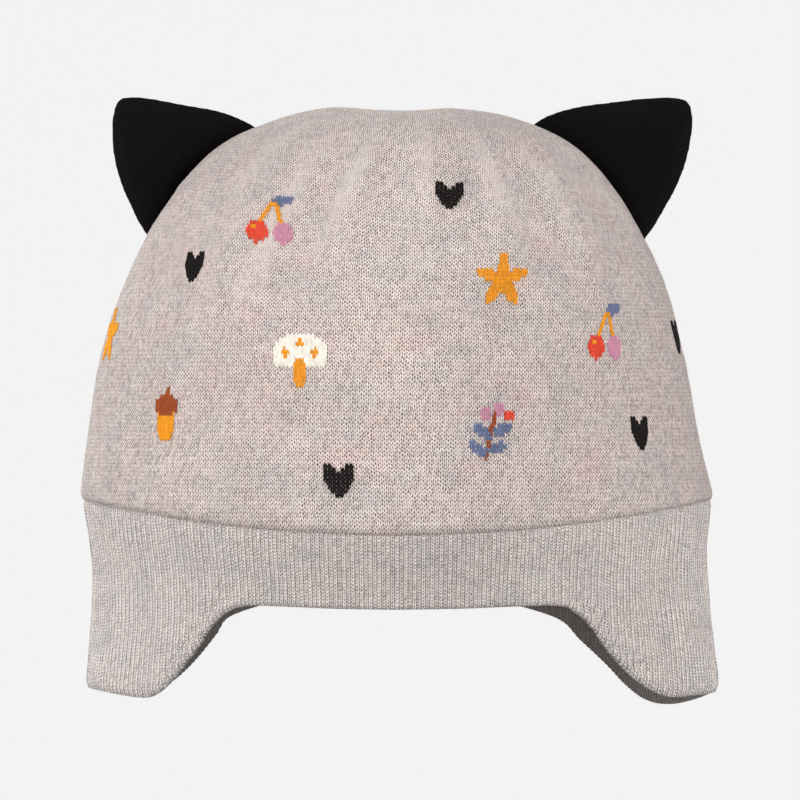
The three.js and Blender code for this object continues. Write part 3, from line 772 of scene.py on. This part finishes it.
def heather_colour(add, place, stitch_column, stitch_row, wale, tones):
    """Heather yarn: fibres of several tones spun together. Stitches differ one by one, a yarn
    keeps a tone for some stitches along its row, and wide soft patches turn pinker or greyer."""
    stitch = add("CombineXYZ", (stitch_column, stitch_row))
    single = add("TexWhiteNoise", {"Vector": stitch})
    along_row = add("Math", (wale, 0.09), operation="MULTIPLY")
    from_row = add("Math", (stitch_row, 0.61), operation="MULTIPLY")
    streak_place = add("CombineXYZ", (along_row, from_row))
    patch = {"Detail": 3.0, "Roughness": 0.6}
    streak = add("TexNoise", {"Vector": streak_place, "Scale": 1.0, **patch})
    pink_patch = add("TexNoise", {"Vector": place, "Scale": 70.0, **patch})
    shifted = add("Mapping", {"Vector": place, "Location": (0.31, 0.17, 0.23)})
    grey_patch = add("TexNoise", {"Vector": shifted, "Scale": 105.0, **patch})
    fibres = add("TexNoise", {"Vector": place, "Scale": 2600.0, "Detail": 2.0, "Roughness": 0.7})
    colour = tones["oat"]
    for tone, value, gain, shift in (
        ("pink", pink_patch, 4.0, -1.5), ("grey", grey_patch, 4.0, -1.7),
        ("cream", streak, 2.6, -1.15), ("dark", single, 1.0, -0.52), ("pale", fibres, 3.2, -1.45),
    ):
        colour = tinted(add, colour, tones[tone], value, gain, shift)
    return colour


def jersey_material():
    """Fine cotton jersey in heathered oat: matt, with V stitches about a millimetre wide whose
    gaps are darkened by painted shade, yarn that turns from cream over pinkish oat to grey, and a
    bloom of fibres."""
    material, add = new_material("heather_cotton_jersey")
    place = add("TexCoord", output="Object")
    knit = add("SeparateXYZ", (add("UVMap", uv_map="knit"),)).node.outputs
    drift = add("TexNoise", {"Vector": place, "Scale": 130.0, "Detail": 2.0})
    wander = add("TexNoise", {"Vector": place, "Scale": 420.0, "Detail": 2.0})
    straight_wale = add("Math", (knit[0], 1 / WALE, KNIT_START), operation="MULTIPLY_ADD")
    sway = add("Math", (drift, 0.7, wander), operation="MULTIPLY_ADD")
    wale = add("Math", (straight_wale, sway), operation="ADD")
    straight_course = add("Math", (knit[1], 1 / COURSE, KNIT_START), operation="MULTIPLY_ADD")
    lift = add("Math", (wander, 0.8), operation="MULTIPLY")
    course = add("Math", (straight_course, lift), operation="ADD")
    height, column, row = jersey_stitch(add, wale, course, 0.62)
    colour = heather_colour(add, place, column, row, wale, {
        "oat": "#E4D3CA", "pink": "#E3C5BF", "grey": "#CCC2C0", "cream": "#EDE0D8",
        "dark": "#94837D", "pale": "#F6EDE9",
    })
    pressed = add("Attribute", output="Fac", attribute_name="pressed")
    colour = tinted(add, colour, "#CDC1BB", pressed, 0.6)
    open_share = add("Math", (pressed, -0.7, 1.0), operation="MULTIPLY_ADD")
    # Painted shade: the low parts of each stitch are tinted dark, as shade in the gaps; pressed creases
    # keep less of it
    deep = add("Math", (height, -1.45, 1.36), operation="MULTIPLY_ADD", use_clamp=True)
    gap = add("Math", (deep, open_share), operation="MULTIPLY")
    colour = tinted(add, colour, "#4C3E39", gap)
    # Towards the sides, painted shade: dark flecks where the stitch gaps run together
    out = add("Math", (add("SeparateXYZ", (place,)),), operation="ABSOLUTE")
    at_side = add("Math", (out, 1 / (40 * MM), -0.5), operation="MULTIPLY_ADD", use_clamp=True)
    grain = add("TexNoise", {"Vector": place, "Scale": 950.0, "Detail": 1.0})
    speck = add("Math", (grain, 7.0, -3.6), operation="MULTIPLY_ADD", use_clamp=True)
    side_gap_shade = add("Math", (speck, at_side), operation="MULTIPLY")
    colour = tinted(add, colour, "#6A5B55", side_gap_shade, 0.42)
    fibres = add("TexNoise", {"Vector": place, **FIBRES})
    relief = add("Math", (fibres, 0.28, height), operation="MULTIPLY_ADD")
    relief = add("Math", (relief, open_share), operation="MULTIPLY")
    finish_cloth(
        add, colour, relief, 0.9, 0.3 * MM,
        Roughness=0.94, Specular_IOR_Level=0.28, Sheen_Weight=0.22, Sheen_Roughness=0.5,
    )
    return material


def rib_material():
    """Fine one-by-one rib of the same heathered yarn, a little greyer: matt, with raised wales of
    V stitches, painted shade in their gaps and in the furrows between them, and an inner face
    darkened by painted shade."""
    material, add = new_material("heather_cotton_rib")
    place = add("TexCoord", output="Object")
    knit = add("SeparateXYZ", (add("UVMap", uv_map="knit"),)).node.outputs
    wander = add("TexNoise", {"Vector": place, "Scale": 420.0, "Detail": 2.0})
    wale = add("Math", (knit[0], 0.5), operation="ADD")
    wale_number = add("Math", (wale,), operation="FLOOR")
    own = add("TexWhiteNoise", {"W": wale_number}, noise_dimensions="1D")
    straight_course = add("Math", (knit[1], MM / RIB_COURSE, KNIT_START), operation="MULTIPLY_ADD")
    lift = add("Math", (wander, 1.6), operation="MULTIPLY")
    level_course = add("Math", (straight_course, lift), operation="ADD")
    course = add("Math", (own, 0.5, level_course), operation="MULTIPLY_ADD")
    height, column, row = jersey_stitch(add, wale, course, 0.5)
    colour = heather_colour(add, place, column, row, wale, {
        "oat": "#E9DFD9", "pink": "#E6D8D3", "grey": "#D4CDCA", "cream": "#F1E8E3",
        "dark": "#978C86", "pale": "#F9F4F1",
    })
    rib_turn = add("Math", (knit[0], 2 * math.pi), operation="MULTIPLY")
    crest = add("Math", (rib_turn,), operation="COSINE")
    between = add("Math", (crest, -0.5, 0.5), operation="MULTIPLY_ADD")
    narrow = add("Math", (between, 2.2), operation="POWER")
    furrow_shade = add("Math", (narrow, 0.55), operation="MULTIPLY")
    half_turn = add("Math", (knit[0], math.pi), operation="MULTIPLY")
    every_other = add("Math", (half_turn,), operation="COSINE")
    lower = add("Math", (every_other, -0.12, 0.02), operation="MULTIPLY_ADD", use_clamp=True)
    furrow_shade = add("Math", (furrow_shade, lower), operation="ADD")
    # Painted shade in the stitch gaps and in the furrows between the ribs, every other furrow darker
    colour = tinted(add, colour, "#5E534D", height, -1.4, 1.28)
    colour = tinted(add, colour, "#6E635D", furrow_shade)
    # Painted shade: the inner face is darkened as if in the shade of the hat
    painted_inside_shade = add("Attribute", output="Fac", attribute_name="painted_inside_shade")
    colour = tinted(add, colour, "#4F443E", painted_inside_shade, 0.6)
    fibres = add("TexNoise", {"Vector": place, **FIBRES})
    relief = add("Math", (fibres, 0.28, height), operation="MULTIPLY_ADD")
    finish_cloth(
        add, colour, relief, 0.8, 0.24 * MM,
        Roughness=0.94, Specular_IOR_Level=0.28, Sheen_Weight=0.2, Sheen_Roughness=0.5,
    )
    return material


def ear_material(name, tilt):
    """Fine black jersey: matt, deep black with a faint grey bloom of fibres, and stitches just
    visible where the light grazes, with painted shade in their gaps. Its wales run up the ear."""
    material, add = new_material(name)
    place = add("TexCoord", output="Object")
    turned = add("Mapping", {"Vector": place, "Rotation": (0.0, tilt, 0.0)})
    knit = add("SeparateXYZ", (turned,)).node.outputs
    wale = add("Math", (knit[0], 1 / EAR_WALE, KNIT_START), operation="MULTIPLY_ADD")
    course = add("Math", (knit[2], 1 / EAR_COURSE, KNIT_START), operation="MULTIPLY_ADD")
    height, _, _ = jersey_stitch(add, wale, course, 0.6)
    fibres = add("TexNoise", {"Vector": place, "Scale": 3000.0, "Detail": 3.0, "Roughness": 0.7})
    bloom = add("TexNoise", {"Vector": place, "Scale": 90.0, "Detail": 3.0, "Roughness": 0.6})
    # Painted shade: the stitch gaps are a touch blacker than the tops of the legs
    colour = tinted(add, "#030303", "#0D0A0B", height)
    colour = tinted(add, colour, "#1C1819", fibres, 2.4, -1.3)
    colour = tinted(add, colour, "#080707", bloom, 1.2, -0.5)
    relief = add("Math", (fibres, 0.3, height), operation="MULTIPLY_ADD")
    finish_cloth(
        add, colour, relief, 0.7, 0.22 * MM,
        Roughness=0.95, Specular_IOR_Level=0.08, Sheen_Weight=0.0, Sheen_Roughness=0.4,
    )
    return material


def motif_material():
    """Soft cotton yarn dyed in several colours, each stitch a little lighter or darker: matt, with
    fine fibres along the surface."""
    material, add = new_material("dyed_cotton_yarn")
    place = add("TexCoord", output="Object")
    dye = add("Attribute", output="Color", attribute_name="yarn")
    fibres = add("TexNoise", {"Vector": place, "Scale": 3200.0, "Detail": 3.0, "Roughness": 0.7})
    colour = tinted(add, dye, "#A89C95", fibres, 0.1, -0.035)
    finish_cloth(
        add, colour, fibres, 0.6, 0.12 * MM,
        Roughness=0.92, Specular_IOR_Level=0.12, Sheen_Weight=0.0, Sheen_Roughness=0.5,
    )
    return material


def swell(piece, pressure, cap):
    """Swells a remeshed pad by a cloth simulation at EAR_SCALE times its size, because the cloth
    settings suit a cushion. No point moves further than the cap."""
    scene = bpy.context.scene
    count = len(piece.data.vertices)
    start = np.empty(count * 3)
    piece.data.vertices.foreach_get("co", start)
    piece.data.vertices.foreach_set("co", start * EAR_SCALE)
    cloth = piece.modifiers.new("cloth", "CLOTH")
    for name, value in {
        "quality": 6, "mass": 0.2, "tension_stiffness": 12, "compression_stiffness": 12,
        "shear_stiffness": 6, "bending_stiffness": 0.4, "use_pressure": True,
        "uniform_pressure_force": pressure,
    }.items():
        setattr(cloth.settings, name, value)
    cloth.settings.effector_weights.gravity = 0
    cloth.point_cache.frame_start = 1
    cloth.point_cache.frame_end = SWELL_FRAMES
    for frame_number in range(1, SWELL_FRAMES + 1):
        scene.frame_set(frame_number)
    end = np.empty(count * 3)
    depsgraph = bpy.context.evaluated_depsgraph_get()
    piece.evaluated_get(depsgraph).data.vertices.foreach_get("co", end)
    piece.modifiers.clear()
    scene.frame_set(1)
    start = start.reshape(-1, 3)
    move = end.reshape(-1, 3) / EAR_SCALE - start
    size = np.linalg.norm(move, axis=1, keepdims=True)
    move *= cap * np.tanh(size / cap) / np.maximum(size, 1e-9)
    piece.data.vertices.foreach_set("co", (start + move).ravel())
    piece.data.update()


def make_ear(node, tilt):
    """Padded ear: the frame's solid, finely remeshed and smoothed, swollen as cloth, and smoothed
    by one subdivision."""
    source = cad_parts[node]
    piece = bpy.data.objects.new(node + "_pad", source.data.copy())
    bpy.context.scene.collection.objects.link(piece)
    remesh = piece.modifiers.new("remesh", "REMESH")
    remesh.mode = "VOXEL"
    remesh.voxel_size = 0.6 * MM
    smooth = piece.modifiers.new("smooth", "SMOOTH")
    smooth.factor = 0.5
    smooth.iterations = 2
    depsgraph = bpy.context.evaluated_depsgraph_get()
    mesh = bpy.data.meshes.new_from_object(piece.evaluated_get(depsgraph))
    piece.modifiers.clear()
    piece.data = mesh
    points = np.empty(len(mesh.vertices) * 3)
    mesh.vertices.foreach_get("co", points)
    points = points.reshape(-1, 3)
    # Filled out a little about the middle of the root, and drawn along the seam at both its ends
    side = np.sign(points[:, 0])
    out = (np.abs(points[:, 0]) - EAR_ROOT_OUT) * EAR_FULLNESS + EAR_ROOT_OUT
    high = (points[:, 2] - EAR_ROOT_HEIGHT) * EAR_FULLNESS + EAR_ROOT_HEIGHT
    inner = bell(np.clip((out - 34 * MM) / (16 * MM), 0, 1))
    lower = bell(np.clip((high + 29 * MM) / (11 * MM), 0, 1))
    away_x, away_z = 0.72, 0.7
    rise = away_x * (out - EAR_ROOT_OUT) + away_z * (high - EAR_ROOT_HEIGHT)
    sunk = 0.8 * MM * bell(np.clip(rise / (8 * MM), 0, 1))
    points[:, 0] = side * (out - 2.0 * MM * inner + 0.4 * MM * lower - away_x * sunk)
    points[:, 2] = high + 0.8 * MM * inner - 0.9 * MM * lower - away_z * sunk
    mesh.vertices.foreach_set("co", points.ravel())
    swell(piece, 7.0, 0.8 * MM)
    finer = piece.modifiers.new("finer", "SUBSURF")
    finer.levels = 1
    finer.render_levels = 1
    mesh.polygons.foreach_set("use_smooth", np.full(len(mesh.polygons), True))
    mesh.materials.clear()
    mesh.materials.append(ear_material("black_cotton_jersey_" + node, tilt))
    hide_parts(node)
    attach(piece, "root")


def make_camera():
    """Camera straight in front of the hat with a long lens, framed as the photograph is."""
    pixel = 145 * MM / 634       # the hat is 634 pixels wide there
    picture = 800
    hat_middle, hat_top = 397, 112
    away = 3.2
    data = bpy.data.cameras.new("camera")
    data.sensor_width = 36.0
    data.lens = data.sensor_width * away / (picture * pixel)
    data.clip_end = 50
    camera = bpy.data.objects.new("camera", data)
    bpy.context.scene.collection.objects.link(camera)
    middle_x = (picture / 2 - hat_middle) * pixel
    middle_z = CROWN_TOP - (picture / 2 - hat_top) * pixel
    camera.location = (middle_x, -away, middle_z)
    camera.rotation_euler = (math.pi / 2, 0, 0)
    bpy.context.scene.camera = camera


def area_light(name, place, target, size, watts):
    """Square soft light at a place, facing a target."""
    data = bpy.data.lights.new(name, "AREA")
    data.shape = "SQUARE"
    data.size = size
    data.energy = watts
    light = bpy.data.objects.new(name, data)
    bpy.context.scene.collection.objects.link(light)
    light.location = place
    light.visible_camera = False
    turn = np.array(target) - np.array(place)
    flat = math.hypot(turn[0], turn[1])
    light.rotation_euler = (
        math.pi / 2 + math.atan2(turn[2], flat), 0, math.atan2(turn[1], turn[0]) - math.pi / 2)


def make_stage():
    """Pale floor that turns up into a round wall in one smooth sweep, so that every side of the
    hat has the same plain ground."""
    floor_z, wall, sweep, top = -2.4, 6.5, 1.5, 6.0
    turn = np.linspace(0, math.pi / 2, 16)
    radius = np.concatenate([[0.5, 2.0], wall - sweep + sweep * np.sin(turn), [wall]])
    z = np.concatenate([[floor_z, floor_z], floor_z + sweep - sweep * np.cos(turn), [top]])
    angle = np.arange(STAGE_SIDES) / STAGE_SIDES * 2 * math.pi
    rings = np.stack([
        radius[:, None] * np.cos(angle), radius[:, None] * np.sin(angle),
        np.broadcast_to(z[:, None], (len(z), STAGE_SIDES)),
    ], -1)
    quads, _, _ = round_grid(len(z), STAGE_SIDES, wrap=False)
    middle = np.array([[0.0, 0.0, floor_z]])
    points = np.concatenate([rings.reshape(-1, 3), middle])
    first = np.arange(STAGE_SIDES)
    last = np.full(STAGE_SIDES, len(points) - 1)
    pie = np.stack([first, (first + 1) % STAGE_SIDES, last, last], -1)
    faces = np.concatenate([quads.reshape(-1, 4)[:, ::-1], pie])
    stage, _ = mesh_object("pale_floor", points, faces)
    # Matt white paper, lit so evenly that it seems to glow
    material, add = new_material("pale_paper")
    shader = add("BsdfPrincipled", {
        "Base Color": "#E8E8E8", "Roughness": 0.9, "Specular IOR Level": 0.0,
        "Emission Color": "#FFFFFF", "Emission Strength": PAPER_GLOW,
    })
    add("OutputMaterial", {"Surface": shader})
    stage.data.materials.append(material)
    # The hat hangs free, so the paper throws no light into its open side
    stage.visible_diffuse = False


def make_light():
    """Soft studio light from five sides, strongest from the left, and an even pale surround."""
    world = bpy.data.worlds.new("studio")
    bpy.context.scene.world = world
    world.use_nodes = True
    world.node_tree.nodes.clear()
    add = functools.partial(add_node, world.node_tree)
    direction = add("TexCoord", output="Generated")
    upward = add("SeparateXYZ", (direction,), 2)
    sky = tinted(add, "#747270", "#A0A0A0", upward, 2.2, 0.5)
    background = add("Background", {"Color": sky, "Strength": 0.85})
    add("OutputWorld", {"Surface": background})
    middle = (0.0, 0.0, -0.06)
    area_light("key", (-2.0, -0.75, 0.05), middle, 0.45, 31)
    area_light("fill", (1.9, -0.9, 0.3), middle, 1.1, 31)
    area_light("front", (0.1, -2.2, -0.3), middle, 1.2, 23)
    area_light("top", (-0.9, -0.4, 2.1), middle, 0.9, 21)
    area_light("back", (-0.5, 2.2, 0.4), middle, 1.2, 34)


make_camera()
crown, crown_cloth, cloth_across, cloth_up = make_crown()
crown.data.materials.append(jersey_material())
motifs = make_motifs(crown_cloth, cloth_across, cloth_up)
motifs.data.materials.append(motif_material())
band = make_band()
band.data.materials.append(rib_material())
make_ear("ear_left", math.radians(45))
make_ear("ear_right", math.radians(-45))
make_stage()
make_light()
bpy.context.scene.view_settings.view_transform = "Standard"
